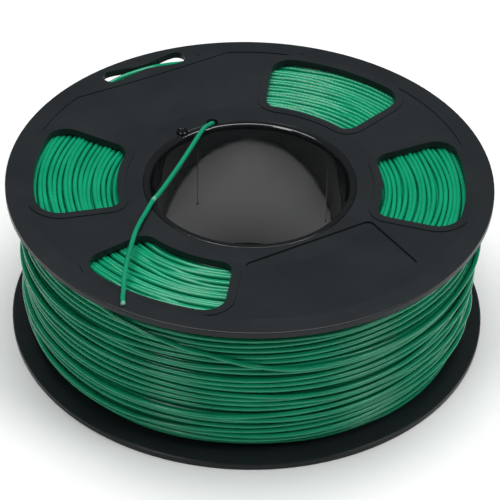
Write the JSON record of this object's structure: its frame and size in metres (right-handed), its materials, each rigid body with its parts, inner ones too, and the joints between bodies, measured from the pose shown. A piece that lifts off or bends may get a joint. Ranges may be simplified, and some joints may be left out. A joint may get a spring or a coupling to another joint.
{
  "type": "filament spool",
  "caption": "Moulded plastic spool with dished, windowed flanges and a wide hub bore, wound almost full with printer filament, its inner end lying loose across the top flange.",
  "frame": {"origin": "middle of the lower flange's rim face, where the spool stands", "axes": "+Z along the hub's axis, from the lower flange to the upper one; +Y towards the upper flange's filament slot"},
  "size_m": [0.175, 0.175, 0.0637],
  "materials": {
    "top_flange": "satin moulded polystyrene",
    "bottom_flange": "satin moulded polystyrene",
    "bore_sleeve": "polished moulded polystyrene",
    "winding_core": "as moulded",
    "locking_pins": "satin",
    "filament_winding": "semi-gloss extruded",
    "filament_lead": "semi-gloss extruded",
    "filament_tail": "semi-gloss extruded"
  },
  "bodies": {
    "root": {"top_flange": "top_flange", "bottom_flange": "bottom_flange", "bore_sleeve": "bore_sleeve", "winding_core": "winding_core", "locking_pins": "locking_pins", "filament_winding": "filament_winding", "filament_lead": "filament_lead", "filament_tail": "filament_tail"}
  },
  "joints": []
}
